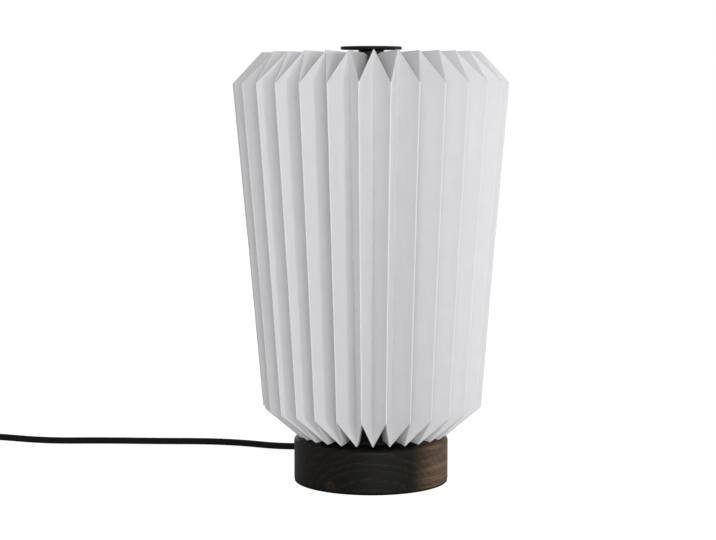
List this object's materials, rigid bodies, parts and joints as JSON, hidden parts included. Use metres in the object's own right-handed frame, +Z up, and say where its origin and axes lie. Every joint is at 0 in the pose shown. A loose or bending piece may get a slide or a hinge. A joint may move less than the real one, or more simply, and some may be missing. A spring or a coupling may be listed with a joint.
{
  "type": "pleated paper table lamp",
  "caption": "Table lamp: tall folded paper shade with turned-in pleats on a low dark wooden drum base, black cap on top, black textile cord with inline switch and flat plug.",
  "frame": {"origin": "on the lamp's vertical axis, at the underside of the base, where it stands", "axes": "+Z up along the axis, -Y towards the viewer, the cord leaves at the back and lies towards -X"},
  "size_m": [0.7863, 0.2876, 0.3783],
  "materials": {
    "white_paper": "matte",
    "stained_wood": "satin",
    "black_fibreboard": "matte",
    "black_foam": "matte",
    "black_lacquer": "satin",
    "black_rubber": "matte",
    "black_braid": "matte",
    "black_plastic": "satin",
    "black_card": "matte",
    "black_glass": "gloss",
    "white_plastic": "satin",
    "opal_plastic": "satin",
    "porcelain": "satin",
    "zinc_steel": "satin",
    "raw_steel": "matte",
    "raw_aluminium": "satin",
    "nickel": "polished",
    "solder": "satin",
    "brass": "satin",
    "wire_insulation": "satin",
    "wire_brown": "satin",
    "wire_blue": "satin"
  },
  "bodies": {
    "base": {"base_body": "stained_wood", "base_cover": "black_fibreboard", "base_pad": "black_foam", "base_cover_screws": "zinc_steel", "base_ballast": "raw_steel", "threaded_tube": "zinc_steel", "clamp_washer": "zinc_steel", "clamp_nut": "zinc_steel", "locating_plate": "black_lacquer", "cord_strain_relief": "black_rubber", "cord_inner": "black_braid", "cord_clamp": "black_plastic", "cord_clamp_screws": "zinc_steel", "terminal_block": "white_plastic", "terminal_barrels": "brass", "cord_cores": "wire_insulation", "wire_live": "wire_brown", "wire_neutral": "wire_blue", "holder_cup": "black_plastic", "holder_skirt": "black_plastic", "holder_insert": "porcelain", "holder_screw_shell": "brass", "holder_tongue": "brass", "holder_terminals": "brass", "harp_saddle": "black_lacquer", "switch_base": "black_plastic", "switch_cover": "black_plastic", "switch_pin": "zinc_steel", "switch_screws": "zinc_steel", "switch_contacts": "brass", "cord_lead": "black_braid", "cord_link": "black_braid", "cord_coil": "black_braid", "cord_tail": "black_braid", "plug_body": "black_plastic", "plug_pins": "nickel", "plug_sleeves": "black_plastic"},
    "bulb": {"bulb_contact": "solder", "bulb_insulator": "black_glass", "bulb_cap": "nickel", "bulb_collar": "white_plastic", "bulb_board": "raw_aluminium", "bulb_diffuser": "opal_plastic"},
    "harp": {"harp_wire": "black_lacquer", "harp_bush": "zinc_steel", "harp_stud": "zinc_steel"},
    "ferrule_left": {"harp_ferrule_left": "brass"},
    "ferrule_right": {"harp_ferrule_right": "brass"},
    "shade": {"shade_paper": "white_paper", "shade_collar": "black_card", "shade_top_plate": "black_lacquer", "shade_hub": "black_plastic"},
    "cap_washer": {"cap_washer": "black_foam"},
    "cap": {"cap_disc": "black_lacquer", "cap_boss": "brass"},
    "rocker": {"switch_rocker": "black_plastic"}
  },
  "joints": [
    {"name": "harp_lift", "type": "slide", "parent": "base", "child": "harp", "axis": [0, 0, 1], "range_m": [0, 0.02]},
    {"name": "ferrule_left_slide", "type": "slide", "parent": "harp", "child": "ferrule_left", "axis": [0, 0, 1], "range_m": [0, 0.015]},
    {"name": "ferrule_right_slide", "type": "slide", "parent": "harp", "child": "ferrule_right", "axis": [0, 0, 1], "range_m": [0, 0.015]},
    {"name": "shade_lift", "type": "slide", "parent": "harp", "child": "shade", "axis": [0, 0, 1], "range_m": [0, 0.345]},
    {"name": "cap_climb", "type": "slide", "parent": "shade", "child": "cap_washer", "axis": [0, 0, 1], "range_m": [0, 0.01]},
    {"name": "cap_turn", "type": "hinge", "parent": "cap_washer", "child": "cap", "pos_m": [0, 0, 0.377], "axis": [0, 0, 1], "range_deg": [0, 3600]},
    {"name": "bulb_out", "type": "slide", "parent": "base", "child": "bulb", "axis": [0, 0, 1], "range_m": [0, 0.03]},
    {"name": "rocker_tilt", "type": "hinge", "parent": "base", "child": "rocker", "pos_m": [-0.428, 0.154, 0.0162], "axis": [0, 1, 0], "range_deg": [0, 16]}
  ],
  "couplings": [
    {"joint": "cap_turn", "follows": "cap_climb", "rad_per_m": 6283.2}
  ]
}
